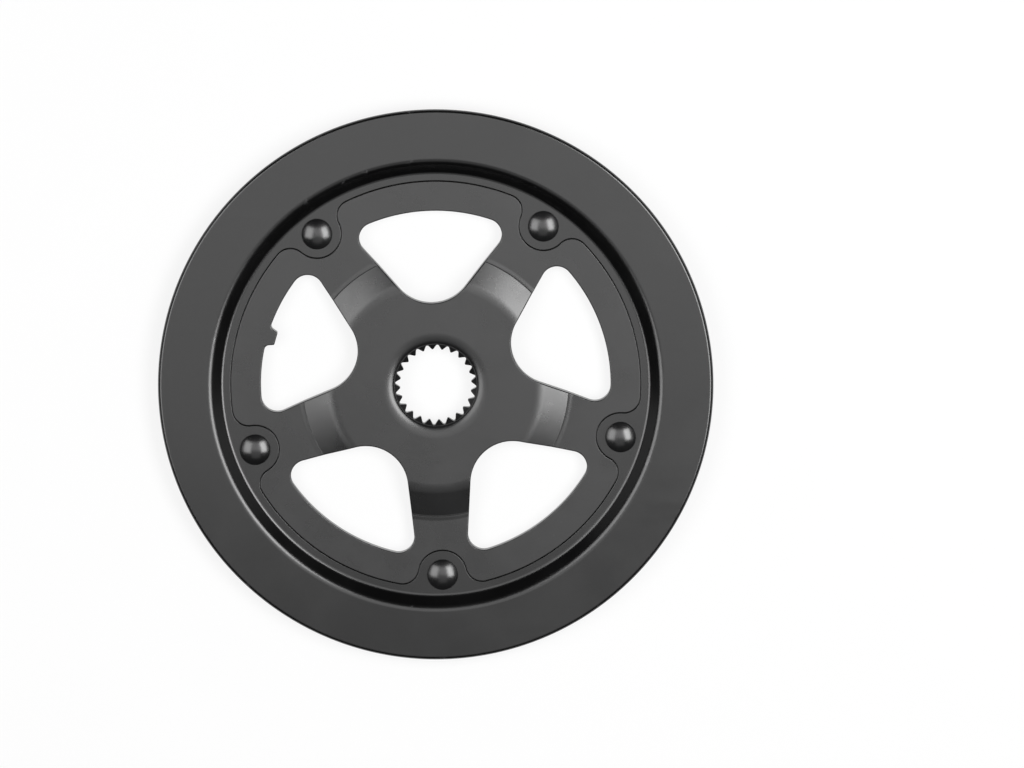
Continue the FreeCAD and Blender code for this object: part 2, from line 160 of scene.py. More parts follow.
class PlateSizes(bpy.types.PropertyGroup):
    """Pressed plate of the wheel, with its raised hub, bore and windows."""

    thickness: length("Thickness", "Thickness of the plate", 4.0)
    hub_step: length("Hub step", "How far the hub stands in front of the rim", 2.5)
    step_start: length("Step start radius", "Radius where the step leaves the hub", 31.1)
    step_run: length("Step run", "Radial length of the step", 10.8)
    bend_radius: length("Bend radius", "Round of the step's front at the hub", 13.0)
    crease_radius: length("Crease radius", "Round of the step's front at the rim", 0.8)
    groove_depth: length("Groove depth", "How far the press sinks the crease below the rim", 0.02)
    ridge_height: length("Ridge height", "Height of the ridge pressed up past the crease", 0.12)
    ridge_rise: length("Ridge rise", "Radial length of the ridge's side at the crease", 0.2)
    ridge_fall: length("Ridge fall", "Radial length of the ridge's side at the rim", 1.5)
    spline_teeth: IntProperty(
        name="Spline teeth", description="Number of teeth in the bore", default=24, min=6
    )
    spline_angle: angle("Spline angle", "Angle of the first space of the spline", 12.5)
    spline_root: length("Spline root radius", "Radius of the spline's spaces", 12.8)
    spline_tip: length("Spline tip radius", "Radius of the spline's teeth", 11.25)
    spline_crest: length("Spline crest round", "Round of a spline tooth's tip", 0.38)
    spline_floor: length("Spline floor round", "Round of the floor of a space between two teeth", 0.55)
    spline_lead: length("Spline lead-in", "Depth of the slant at the front of the spline's teeth", 1.1)
    mouth_width: length("Mouth width", "Radial width of the bore's rounded mouth", 4.0)
    mouth_depth: length("Mouth depth", "Depth of the bore's rounded mouth", 1.2)
    mouth_step: length("Mouth step", "Gap between the mouth's foot and the spline's spaces", 0.15)
    arms: IntProperty(name="Arms", description="Number of arms", default=5, min=3)
    arm_angle: angle("Arm angle", "Angle of the first arm", 56.0)
    window_outer: length("Window outer radius", "Radius of a window's outer edge", 55.1)
    window_apex: length("Window apex radius", "Radius of a window's innermost point", 26.1)
    apex_fillet: length("Apex fillet", "Round of a window's apex", 13.3)
    corner_fillet: length("Corner fillet", "Round of a window's outer corners", 5.0)
    side_angle: angle("Window side angle", "Angle of a window's sides to its middle line", 40.7)
    window_round: length("Window edge round", "Round along the windows' edges", 0.4)
    tab_window: IntProperty(name="Tab window", description="Window with the index tab", default=1, min=0)
    tab_length: length("Tab length", "How far the index tab reaches into its window", 2.75)
    tab_width: length("Tab width", "Width of the index tab's tip", 4.0)
    tab_flare: angle("Tab flare", "Angle of the index tab's sides", 20.0)
    tab_fillet: length("Tab fillet", "Round of the index tab's roots", 1.5)
    tab_corner: length("Tab corner", "Round of the index tab's corners", 0.5)


class SeatSizes(bpy.types.PropertyGroup):
    """Lobed joint between the wheel's rim and the guard's flange."""

    rivet_circle: length("Rivet circle radius", "Radius of the circle that the rivets lie on", 60.65)
    margin: length("Margin", "How far the rim's shoulder lies outside the rivet circle", 3.85)
    lobe_radius: length("Lobe radius", "Radius of the lobe round each rivet", 7.8)
    lobe_blend: length("Lobe blend", "Round between a lobe and the rim's shoulder", 5.0)
    gap: length("Gap", "Gap between the rim and the flange", 0.2)
    edge_round: length("Edge round", "Round along both edges of the gap", 0.2)
    hole_radius: length("Rivet hole radius", "Radius of the rivet holes", 2.55)


class GuardSizes(bpy.types.PropertyGroup):
    """Moulded chain guard."""

    radius: length("Radius", "Outside radius of the guard", 87.5)
    thickness: length("Thickness", "Thickness of the guard's band and wall", 2.0)
    rise: length("Rise", "How far the band stands in front of the flange", 2.85)
    flange_width: length("Flange width", "Radial width of the flange between two lobes", 2.85)
    wall_angle: angle("Wall angle", "Slope of the wall between flange and band", 38.0)
    foot_fillet: length("Foot fillet", "Round at the wall's foot", 2.0)
    lip_fillet: length("Lip fillet", "Round at the wall's lip", 3.5)
    edge_fillet: length("Edge fillet", "Round of the band's outer edge at the front", 1.2)
    back_fillet: length("Back fillet", "Round of the edges at the back", 0.5)


class RivetSizes(bpy.types.PropertyGroup):
    """Dome-head rivets."""

    head_radius: length("Head radius", "Radius of the head", 4.85)
    head_side: length("Head side", "Height of the head's upright side, before its edge is rounded", 0.7)
    dome_rise: length("Dome rise", "How far the dome rises above the head's side", 1.35)
    brim_round: length("Brim round", "Round between the dome and the head's side", 0.4)
    shank_radius: length("Shank radius", "Radius of the shank", 2.5)
    tail_radius: length("Tail radius", "Radius of the flattened tail", 4.0)
    tail_height: length("Tail height", "Height of the flattened tail", 1.4)
    tail_fillet: length("Tail fillet", "Round of the tail's edge", 0.6)


class FinishColours(bpy.types.PropertyGroup):
    """Colours of the three finishes."""

    coat: colour("Coat", "Black coat on the wheel", (0.0044, 0.0044, 0.0046))
    coat_pale: colour("Coat, pale", "Paler clouds in the wheel's coat", (0.0062, 0.0062, 0.0065))
    plastic: colour("Plastic", "Black moulded plastic of the guard", (0.0014, 0.0014, 0.0015))
    plastic_pale: colour("Plastic, pale", "Paler clouds in the plastic", (0.0021, 0.0021, 0.0022))
    rivet: colour("Rivet", "Blackened steel of the rivets", (0.0050, 0.0050, 0.0053))
    rivet_pale: colour("Rivet, pale", "Paler patches on the rivets", (0.0080, 0.0080, 0.0084))
    rubbed: colour("Rubbed edge", "Where handling has rubbed an edge", (0.11, 0.11, 0.113))
    dust: colour("Dust", "Fine dust that lies on the faces", (0.30, 0.30, 0.30))
    floor: colour("Floor", "Photo table", (0.92, 0.92, 0.92))


class StageSettings(bpy.types.PropertyGroup):
    """Camera, lamps and floor."""

    camera_distance: length("Camera distance", "From the camera to the part", 4000.0)
    camera_tilt: angle("Camera tilt", "Angle between the view and the wheel's axis", 8.0)
    aim_side: length("Aim, sideways", "How far right of the axis the camera aims", 24.03)
    aim_up: length("Aim, upwards", "How far above the axis the camera aims", 0.48)
    aim_level: length("Aim level", "Height that the camera aims at", 3.9)
    pixel_size: length("Pixel size", "Length on the part that one pixel of the picture shows", 1 / 3.175)
    sensor: length("Sensor width", "Width of the camera's sensor", 36.0)
    lamp_distance: length("Lamp distance", "From the part to the lamps", 1000.0)
    right_width: length("Right width", "Width of the right softbox", 400.0)
    left_width: length("Left width", "Width of the left softbox", 520.0)
    box_length: length("Softbox length", "Length of the softboxes and of the walls", 740.0)
    box_slant: angle("Softbox slant", "How far the softboxes lean together at the picture's top", 11.0)
    right_forward: length("Right offset", "How far the right softbox stands to the picture's top", 85.0)
    left_forward: length("Left offset", "How far the left softbox stands to the picture's top", 65.0)
    right_angle: angle("Right angle", "Angle of the right softbox from straight overhead", 29.6)
    left_angle: angle("Left angle", "Angle of the left softbox from straight overhead", 32.0)
    right_brightness: brightness("Right brightness", "Radiance of the right softbox", 7.5)
    left_brightness: brightness("Left brightness", "Radiance of the left softbox", 3.8)
    panel_width: length("Panel width", "Width of the panel overhead", 640.0)
    panel_length: length("Panel length", "Length of the panel overhead", 600.0)
    panel_side: length("Panel offset, sideways", "How far the panel hangs to the part's right", 80.0)
    panel_forward: length("Panel offset, up", "How far the panel hangs towards the picture's top", 120.0)
    panel_brightness: brightness("Panel brightness", "Radiance of the panel", 1.37)
    fill_size: length("Fill size", "Sides of the dim panel towards the bottom of the picture", 660.0)
    fill_back: length("Fill offset", "How far the dim panel hangs to the picture's bottom", 500.0)
    fill_brightness: brightness("Fill brightness", "Radiance of the dim panel", 0.44)
    wall_width: length("Wall width", "Width of the pale walls at both sides", 320.0)
    wall_angle: angle("Wall angle", "Angle of the walls from straight overhead", 76.0)
    wall_forward: length("Wall offset", "How far the walls stand towards the picture's top", 300.0)
    wall_brightness: brightness("Wall brightness", "Radiance of the walls", 0.35)
    floor_half: length("Floor reach", "Half the width of the square floor", 5000.0)
    backdrop_height: length("Backdrop", "Height of the backdrop along the floor's edges", 180.0)
    floor_glow: share("Floor glow", "How much of the floor's white doesn't depend on the lamps", 0.82)
    ambient: share("Ambient", "Even light from all round", 0.02)


class SprocketSettings(bpy.types.PropertyGroup):
    """All the settings of the sprocket and its stage."""

    teeth: PointerProperty(type=ToothSizes)
    plate: PointerProperty(type=PlateSizes)
    seat: PointerProperty(type=SeatSizes)
    guard: PointerProperty(type=GuardSizes)
    rivets: PointerProperty(type=RivetSizes)
    colours: PointerProperty(type=FinishColours)
    stage: PointerProperty(type=StageSettings)


# Outlines and sections

class Arc:
    """Round stretch of an outline or of a turned section.

    side is HOLLOW where the material lies outside the arc, and BULGE where it lies on the centre's side.
    """

    def __init__(self, centre, radius, start, end, steps, side):
        self.centre = Vector(centre)
        self.radius = radius
        self.start = start
        self.end = end
        self.steps = steps
        self.side = side

    def direction(self, part):
        swing = self.start + (self.end - self.start) * part
        return Vector((math.cos(swing), math.sin(swing)))

    def point(self, part, inset=0.0):
        """Point at a share of the arc, moved into the material by an inset."""
        return self.centre + self.direction(part) * (self.radius + self.side * inset)

    def normal(self, part):
        """Direction out of the material."""
        return self.direction(part) * -self.side


class Line:
    """Straight stretch of an outline or of a turned section, with its direction out of the material."""

    def __init__(self, start, end, steps, out):
        self.start = Vector(start)
        self.end = Vector(end)
        self.steps = steps
        self.out = Vector(out).normalized()

    def point(self, part, inset=0.0):
        return self.start.lerp(self.end, part) - self.out * inset

    def normal(self, part):
        return self.out


def polar(radius, swing):
    """Point in the plane at a radius and an angle."""
    return Vector((radius * math.cos(swing), radius * math.sin(swing)))


def heading(vector):
    """Angle of a plane vector."""
    return math.atan2(vector.y, vector.x)


def turned(vector, swing):
    """Copy of a plane vector, turned about the axis."""
    cosine, sine = math.cos(swing), math.sin(swing)
    return Vector((vector.x * cosine - vector.y * sine, vector.x * sine + vector.y * cosine))


def mirrored(run):
    """Copy of a stretch, mirrored in the X axis and run the other way."""
    flip = Vector((1, -1))
    if isinstance(run, Arc):
        return Arc(run.centre * flip, run.radius, -run.end, -run.start, run.steps, run.side)
    return Line(run.end * flip, run.start * flip, run.steps, run.out * flip)


def placed(run, swing):
    """Copy of a stretch, turned about the axis."""
    if isinstance(run, Arc):
        centre = turned(run.centre, swing)
        return Arc(centre, run.radius, run.start + swing, run.end + swing, run.steps, run.side)
    return Line(turned(run.start, swing), turned(run.end, swing), run.steps, turned(run.out, swing))


def all_round(half, count, first):
    """Closed outline from half of one tooth or space, mirrored and repeated about the axis."""
    whole = [mirrored(run) for run in reversed(half)] + half
    step = math.tau / count
    return [placed(run, first + number * step) for number in range(count) for run in whole]


def near_swing(swing, reference):
    """The same direction, written as the angle that is nearest to a reference."""
    return swing + round((reference - swing) / math.tau) * math.tau


def corner_angle(first, second, opposite):
    """Angle between two sides of a triangle, from the lengths of all three."""
    return math.acos((first ** 2 + second ** 2 - opposite ** 2) / (2 * first * second))


def to_circle(start, along, radius):
    """Point where a line from a start meets a circle about the axis."""
    middle = start.dot(along)
    return start + along * (math.sqrt(middle ** 2 - start.dot(start) + radius ** 2) - middle)


def round_path(points, radii, steps):
    """Stretches of a section through points, with rounded corners.

    The material lies on the path's right.
    """
    runs = []
    start = points[0]
    for index in range(1, len(points)):
        corner = points[index]
        along = (corner - start).normalized()
        out = Vector((-along.y, along.x))
        if index == len(points) - 1 or radii[index] == 0:
            runs.append(Line(start, corner, 1, out))
            start = corner
            continue
        after = (points[index + 1] - corner).normalized()
        half = math.acos(max(-1.0, min(1.0, -along.dot(after)))) / 2
        reach = radii[index] / math.tan(half)
        tangent = corner - along * reach
        side = HOLLOW if along.cross(after) > 0 else BULGE
        centre = tangent + out * radii[index] * side
        end = corner + after * reach
        first = heading(tangent - centre)
        last = near_swing(heading(end - centre), first)
        runs.append(Line(start, tangent, 1, out))
        runs.append(Arc(centre, radii[index], first, last, steps, side))
        start = end
    return runs


def crossing(run, low, high, radius, inset):
    """Share of a stretch at which it crosses a circle about the axis, found by halving."""
    low_is_inside = run.point(low, inset).length < radius
    for _ in range(HALVINGS):
        middle = (low + high) / 2
        if (run.point(middle, inset).length < radius) == low_is_inside:
            low = middle
        else:
            high = middle
    return (low + high) / 2


def places_along(runs, radii=(), inset=0.0):
    """Places along a closed outline, with one wherever the inset outline crosses a given radius."""
    places = []
    for run in runs:
        even = [step / run.steps for step in range(run.steps + 1)]
        crossed = []
        for low, high in zip(even, even[1:]):
            for radius in radii:
                if (run.point(low, inset).length < radius) != (run.point(high, inset).length < radius):
                    crossed.append(crossing(run, low, high, radius, inset))
        spare = CLOSE_SHARE / run.steps
        kept = []
        for part in even[:-1]:
            if part == 0 or all(abs(part - other) > spare for other in crossed):
                kept.append(part)
        places += [(run, part) for part in sorted(kept + crossed)]
    return places


class StepProfile:
    """Level and tilt of one face of the plate, from the hub over the step to the rim.

    A groove and a low ridge can follow the crease at the step's foot.
    """

    def __init__(self, plate, hub_level, rim_level, bend, crease, groove=0.0, ridge=0.0):
        self.start = plate.step_start
        self.end = plate.step_start + plate.step_run
        self.hub_level = hub_level
        self.rim_level = rim_level
        self.bend = bend
        self.crease = crease
        self.foot_level = rim_level - groove
        self.ridge_level = rim_level + ridge
        self.ridge_top = self.end + plate.ridge_rise
        self.ridge_end = self.ridge_top + plate.ridge_fall
        drop = (self.foot_level + crease) - (hub_level - bend)
        span = math.hypot(plate.step_run, drop)
        self.slope = math.asin((bend + crease) / span) - math.atan2(drop, plate.step_run)
        self.bend_end = self.start + bend * math.sin(self.slope)
        self.crease_start = self.end - crease * math.sin(self.slope)

    def ridge_side(self, radius):
        """The ridge's side at a radius: where it starts, its length and the levels that it joins."""
        if radius <= self.ridge_top:
            return self.end, self.ridge_top - self.end, self.foot_level, self.ridge_level
        return self.ridge_top, self.ridge_end - self.ridge_top, self.ridge_level, self.rim_level

    def tilt(self, radius):
        """Angle by which the face leans outwards."""
        if radius <= self.start or radius >= self.ridge_end:
            return 0.0
        if radius < self.bend_end:
            return math.asin((radius - self.start) / self.bend)
        if radius <= self.crease_start:
            return self.slope
        if radius <= self.end:
            return math.asin((self.end - radius) / self.crease)
        start, run, low, high = self.ridge_side(radius)
        return -math.atan((high - low) / run * math.pi / 2 * math.sin(math.pi * (radius - start) / run))

    def level(self, radius):
        if radius <= self.start:
            return self.hub_level
        if radius >= self.ridge_end:
            return self.rim_level
        if radius < self.bend_end:
            return self.hub_level - self.bend * (1 - math.cos(self.tilt(radius)))
        if radius <= self.crease_start:
            bend_drop = self.bend * (1 - math.cos(self.slope))
            return self.hub_level - bend_drop - (radius - self.bend_end) * math.tan(self.slope)
        if radius <= self.end:
            return self.foot_level + self.crease * (1 - math.cos(self.tilt(radius)))
        start, run, low, high = self.ridge_side(radius)
        return low + (high - low) / 2 * (1 - math.cos(math.pi * (radius - start) / run))

    def radii(self, steps):
        """Radii at which the face needs points to follow its bends."""
        shares = [step / steps for step in range(steps + 1)]
        found = [self.start + self.bend * math.sin(self.slope * part) for part in shares]
        found += [self.end - self.crease * math.sin(self.slope * part) for part in reversed(shares)]
        if self.ridge_level > self.foot_level:
            found += [self.end + (self.ridge_top - self.end) * part for part in shares[1:]]
            found += [self.ridge_top + (self.ridge_end - self.ridge_top) * part for part in shares[1:]]
        return found

    def normal(self, radius, middle):
        """Radial and axial parts of the face's direction."""
        tilt = self.tilt(radius)
        return math.sin(tilt), math.cos(tilt)


class BevelProfile:
    """Level and tilt of a face that is flat up to a radius and then slants evenly."""

    def __init__(self, flat_level, bevel_start, fall):
        self.flat_level = flat_level
        self.bevel_start = bevel_start
        self.fall = fall

    def level(self, radius):
        return self.flat_level - max(0.0, radius - self.bevel_start) * self.fall

    def normal(self, radius, middle):
        tilt = math.atan(self.fall) if middle > self.bevel_start else 0.0
        return math.sin(tilt), math.cos(tilt)


class BackProfile:
    """Back of the wheel, which is the step's back as far as the rim and then the teeth's bevel."""

    def __init__(self, step, bevel):
        self.step = step
        self.bevel = bevel

    def side(self, radius):
        return self.step if radius <= self.step.ridge_end else self.bevel

    def level(self, radius):
        return self.side(radius).level(radius)

    def normal(self, radius, middle):
        return self.side(middle).normal(radius, middle)


# Meshes

class MeshDraft:
    """Points and faces of a piece, with the true surface direction at each face corner."""

    def __init__(self):
        self.points = []
        self.edge_shares = []
        self.faces = []
        self.directions = []

    def add(self, plan, level, edge_share=0.0):
        """Add a point and return its number."""
        self.points.append(Vector((plan.x, plan.y, level)))
        self.edge_shares.append(edge_share)
        return len(self.points) - 1

    def face(self, indices, directions):
        """Add a face, wound so that it looks the way its corner directions point."""
        corners = [self.points[index] for index in indices]
        area = Vector((0, 0, 0))
        for second, third in zip(corners[1:], corners[2:]):
            area += (second - corners[0]).cross(third - corners[0])
        if area.length < SMALLEST_AREA:
            return
        if area.dot(sum(directions, Vector((0, 0, 0)))) < 0:
            indices = indices[::-1]
            directions = directions[::-1]
        self.faces.append(indices)
        self.directions += [direction.normalized() for direction in directions]

    def build(self, name, material):
        """Turn the draft into an object."""
        mesh = bpy.data.meshes.new(name)
        mesh.from_pydata([tuple(point) for point in self.points], [], self.faces, shade_flat=False)
        layer = mesh.attributes.new(EDGE_LAYER, "FLOAT", "POINT")
        layer.data.foreach_set("value", self.edge_shares)
        mesh.normals_split_custom_set([tuple(direction) for direction in self.directions])
        mesh.materials.append(material)
        return put_in_scene(name, mesh)


def put_in_scene(name, data):
    """New object in the scene for a mesh, lamp or camera."""
    item = bpy.data.objects.new(name, data)
    bpy.context.scene.collection.objects.link(item)
    return item


def face_direction(plan, profile, radius, middle, facing):
    """Direction of a face that looks to the front or the back, at a point."""
    radial, axial = profile.normal(radius, middle)
    outward = plan / radius
    return Vector((outward.x * radial, outward.y * radial, axial)) * facing


def rounded_wall(draft, places, front, back, front_round=0.0, back_round=0.0, steps=1):
    """Side wall along a closed outline, rounded into the faces in front and behind.

    Returns its front and back rings.
    """
    rows = []
    for profile, size, facing in ((front, front_round, FRONT), (back, back_round, BACK)):
        swings = [QUARTER_TURN]
        if size > 0:
            swings = [QUARTER_TURN * step / steps for step in range(steps + 1)]
        rows += [(profile, size, facing, swing) for swing in swings[::facing]]
    rings = []
    for profile, size, facing, swing in rows:
        ring = []
        for run, part in places:
            foot = run.point(part, size)
            plan = run.point(part, size * (1 - math.sin(swing)))
            level = profile.level(foot.length) - facing * size * (1 - math.cos(swing))
            ring.append(draft.add(plan, level, math.sin(2 * swing) if size > 0 else 0.0))
        rings.append(ring)

    def direction(row, run, part):
        profile, size, facing, swing = row
        foot = run.point(part, size)
        out = run.normal(part)
        face = face_direction(foot, profile, foot.length, foot.length, facing)
        return Vector((out.x, out.y, 0)) * math.sin(swing) + face * math.cos(swing)

    for index, (run, part) in enumerate(places):
        following = (index + 1) % len(places)
        next_run, next_part = places[following]
        end_part = next_part if next_run is run and next_part > part else 1.0
        for number in range(len(rows) - 1):
            upper, lower = rows[number], rows[number + 1]
            top, foot = rings[number], rings[number + 1]
            draft.face(
                [top[index], top[following], foot[following], foot[index]],
                [
                    direction(upper, run, part),
                    direction(upper, run, end_part),
                    direction(lower, run, end_part),
                    direction(lower, run, part),
                ],
            )
    return rings[0], rings[-1]


def inside(points, loop):
    """Which of the points lie inside a closed loop, by counting crossings."""
    result = np.zeros(len(points), bool)
    x, y = points[:, 0], points[:, 1]
    for start, end in zip(loop, np.roll(loop, -1, axis=0)):
        spans = (start[1] > y) != (end[1] > y)
        reach = start[0] + (y - start[1]) * (end[0] - start[0]) / (end[1] - start[1] + NOT_ZERO)
        result ^= spans & (x < reach)
    return result


def fill(draft, outer, holes, lines, profile, facing):
    """Face between an outer ring and the rings of its holes.

    lines are chains of points across the face, each from one ring's point to another's.
    """
    def plans(indices):
        return [draft.points[index].xy / MM for index in indices]

    edges = []
    used = []
    for ring in [outer] + holes:
        edges += [(len(used) + step, len(used) + (step + 1) % len(ring)) for step in range(len(ring))]
        used += ring
    number = {index: order for order, index in enumerate(used)}
    for first, between, last in lines:
        chain = [first] + [draft.add(plan, profile.level(plan.length)) for plan in between] + [last]
        for index in chain[1:-1]:
            number[index] = len(used)
            used.append(index)
        edges += [(number[start], number[end]) for start, end in zip(chain, chain[1:])]
    found, _, triangles, origins, _, _ = delaunay_2d_cdt(plans(used), edges, [], 0, SAME_POINT_MM)
    if any(not origin for origin in origins):
        raise RuntimeError("the lines of a face cross each other")
    corners = np.array([tuple(point) for point in found])
    middles = corners[np.array(triangles)].mean(axis=1)
    kept = inside(middles, np.array(plans(outer)))
    for ring in holes:
        kept &= ~inside(middles, np.array(plans(ring)))
    for triangle, middle, keep in zip(triangles, middles, kept):
        if keep:
            indices = [used[origins[corner][0]] for corner in triangle]
            reach = math.hypot(*middle) * MM
            directions = []
            for index in indices:
                plan = draft.points[index].xy
                directions.append(face_direction(plan, profile, plan.length, reach, facing))
            draft.face(indices, directions)


def turn(draft, runs, segments, centre=AXIS, edge_runs=()):
    """Turn a section about an upright axis. Returns its first and last rings."""
    swings = [math.tau * step / segments for step in range(segments)]

    def ring_at(plan, edge_share):
        if plan.x < ON_AXIS:
            return [draft.add(centre, plan.y, edge_share)] * segments
        return [draft.add(centre + polar(plan.x, swing), plan.y, edge_share) for swing in swings]

    first = ring = ring_at(runs[0].point(0), 0.0)
    for number, run in enumerate(runs):
        for step in range(run.steps):
            low, high = step / run.steps, (step + 1) / run.steps
            worn = math.sin(math.pi * high) if number in edge_runs else 0.0
            following = ring_at(run.point(high), worn)
            for index in range(segments):
                after = (index + 1) % segments
                corners = {}
                below = [(ring, index, low), (ring, after, low)]
                above = [(following, after, high), (following, index, high)]
                for where, place, part in below + above:
                    out = run.normal(part)
                    around = polar(out.x, swings[place])
                    corners.setdefault(where[place], Vector((around.x, around.y, out.y)))
                draft.face(list(corners), list(corners.values()))
            ring = following
    return first, ring


# Pieces

def levels(settings):
    """Levels of the plate's faces: hub front, hub back, rim front, rim back and tooth front."""
    hub_back = 0.0
    hub_front = hub_back + settings.plate.thickness
    rim_front = hub_front - settings.plate.hub_step
    rim_back = rim_front - settings.plate.thickness
    return hub_front, hub_back, rim_front, rim_back, rim_back + settings.teeth.thickness


def arm_angles(plate, shift=0.0):
    """Angles of the arms, or of places that lie a share of their spacing past them."""
    spacing = math.tau / plate.arms
    return [plate.arm_angle + (number + shift) * spacing for number in range(plate.arms)]


def rivet_centres(settings):
    """Where the rivets stand."""
    return [polar(settings.seat.rivet_circle, swing) for swing in arm_angles(settings.plate)]


def rivet_holes(draft, settings, front, back):
    """Holes for the rivets. Returns their front rings and their back rings."""
    rings = []
    for centre in rivet_centres(settings):
        hole = places_along([Arc(centre, settings.seat.hole_radius, 0.0, math.tau, HOLE_STEPS, HOLLOW)])
        rings.append(rounded_wall(draft, hole, front, back))
    return [front_ring for front_ring, _ in rings], [back_ring for _, back_ring in rings]


def lobed_outline(settings, gap, side):
    """Joint between rim and flange, moved outwards by a gap.

    side is BULGE for the rim and HOLLOW for the flange.
    """
    seat = settings.seat
    ring = seat.rivet_circle + seat.margin + gap
    lobe = seat.lobe_radius - gap
    blend = seat.lobe_blend + gap
    reach = ring - blend
    swing = corner_angle(reach, seat.rivet_circle, lobe + blend)
    spacing = math.tau / settings.plate.arms
    runs = []
    for middle in arm_angles(settings.plate):
        rivet = polar(seat.rivet_circle, middle)
        low, high = polar(reach, middle - swing), polar(reach, middle + swing)
        low_lobe = heading(low - rivet)
        high_lobe = near_swing(heading(high - rivet), low_lobe - math.pi)
        low_end = near_swing(low_lobe + math.pi, middle - swing)
        high_start = near_swing(high_lobe + math.pi, middle + swing)
        runs += [
            Arc(low, blend, middle - swing, low_end, steps=14, side=side),
            Arc(rivet, lobe, low_lobe, high_lobe, steps=36, side=-side),
            Arc(high, blend, high_start, middle + swing, steps=14, side=side),
            Arc(AXIS, ring, middle + swing, middle + spacing - swing, steps=36, side=side),
        ]
    return runs


def window_outline(plate, with_tab):
    """Window between two arms, with its middle on +X."""
    turn_in = plate.side_angle + QUARTER_TURN
    along, across = polar(1, plate.side_angle), polar(1, turn_in)
    apex = Vector((plate.window_apex + plate.apex_fillet, 0))
    base = apex + across * (plate.apex_fillet - plate.corner_fillet)
    corner = to_circle(base, along, plate.window_outer - plate.corner_fillet)
    side_start, side_end = apex + across * plate.apex_fillet, corner + across * plate.corner_fillet
    upper = [
        Arc(apex, plate.apex_fillet, math.pi, turn_in, steps=20, side=HOLLOW),
        Line(side_start, side_end, steps=16, out=-across),
        Arc(corner, plate.corner_fillet, turn_in, heading(corner), steps=14, side=HOLLOW),
    ]
    if with_tab:
        upper += tab_outline(plate, heading(corner))
    else:
        upper.append(Arc(AXIS, plate.window_outer, heading(corner), 0.0, steps=28, side=HOLLOW))
    return upper + [mirrored(run) for run in reversed(upper)]


def tab_outline(plate, corner_heading):
    """Upper half of a window's outer edge with the index tab, from the corner to the middle line."""
    tip = plate.window_outer - plate.tab_length
    tip_half = plate.tab_width / 2
    flare, radius = plate.tab_flare, plate.tab_corner
    along, out = polar(1, flare), polar(1, flare + QUARTER_TURN)
    start = Vector((tip, tip_half)) + out * plate.tab_fillet
    root = to_circle(start, along, plate.window_outer - plate.tab_fillet)
    corner_y = tip_half + radius * math.tan(flare) - radius / math.cos(flare)
    corner = Vector((tip + radius, corner_y))
    return [
        Arc(AXIS, plate.window_outer, corner_heading, heading(root), steps=22, side=HOLLOW),
        Arc(root, plate.tab_fillet, heading(root), heading(-out), steps=8, side=HOLLOW),
        Line(root - out * plate.tab_fillet, corner + out * radius, steps=3, out=out),
        Arc(corner, radius, flare + QUARTER_TURN, math.pi, steps=5, side=BULGE),
        Line((tip, corner_y), (tip, 0), steps=3, out=(-1, 0)),
    ]


def tooth_circles(teeth):
    """Radii of the chain's pitch circle and of the tooth tips."""
    pitch_radius = teeth.pitch / 2 / math.sin(math.pi / teeth.count)
    return pitch_radius, pitch_radius + teeth.height


def tooth_outline(settings):
    """Outline of the chain teeth."""
    teeth = settings.teeth
    pitch_radius, tip_radius = tooth_circles(teeth)
    half = teeth.seat_half_angle
    seat_centre = Vector((pitch_radius, 0))
    outward = polar(1, math.pi - half)
    seat_end = seat_centre + outward * teeth.seat_radius
    flank_centre = seat_end + outward * teeth.flank_radius
    flank_start = heading(-outward)
    flank_reach = teeth.flank_radius - teeth.corner_radius
    tip_reach = tip_radius - teeth.corner_radius
    bend = corner_angle(flank_centre.length, tip_reach, flank_reach)
    corner = polar(tip_reach, heading(flank_centre) - bend)
    flank_end = heading(corner - flank_centre)
    upper = [
        Arc(seat_centre, teeth.seat_radius, math.pi, math.pi - half, steps=7, side=HOLLOW),
        Arc(flank_centre, teeth.flank_radius, flank_start, flank_end, steps=8, side=BULGE),
        Arc(corner, teeth.corner_radius, flank_end, heading(corner), steps=3, side=BULGE),
        Arc(AXIS, tip_radius, heading(corner), math.pi / teeth.count, steps=1, side=BULGE),
    ]
    return all_round(upper, teeth.count, settings.plate.arm_angle)


def spline_outline(plate):
    """Outline of the splined bore, with straight flanks between round floors and round crests."""
    half_pitch = math.pi / plate.spline_teeth
    floor, crest = plate.spline_floor, plate.spline_crest
    floor_centre = Vector((plate.spline_root - floor, 0))
    crest_centre = polar(plate.spline_tip + crest, half_pitch)
    between = crest_centre - floor_centre
    flank = heading(between) - math.acos((floor + crest) / between.length)
    out = polar(1, flank)
    upper = [
        Arc(floor_centre, floor, 0.0, flank, steps=5, side=HOLLOW),
        Line(floor_centre + out * floor, crest_centre - out * crest, steps=2, out=-out),
        Arc(crest_centre, crest, flank + math.pi, half_pitch + math.pi, steps=4, side=BULGE),
    ]
    return all_round(upper, plate.spline_teeth, plate.spline_angle)


class Mouth:
    """Rounded mouth of the bore as a turned section: a quarter of an ellipse, from the hub inwards."""

    steps = 14

    def __init__(self, plate, hub_front):
        self.width = plate.mouth_width
        self.depth = plate.mouth_depth
        self.centre = Vector((plate.spline_root + plate.mouth_step + self.width, hub_front - self.depth))

    def point(self, part):
        swing = QUARTER_TURN * (1 + part)
        return self.centre + Vector((self.width * math.cos(swing), self.depth * math.sin(swing)))

    def normal(self, part):
        swing = QUARTER_TURN * (1 + part)
        return Vector((math.cos(swing) / self.width, math.sin(swing) / self.depth)).normalized()


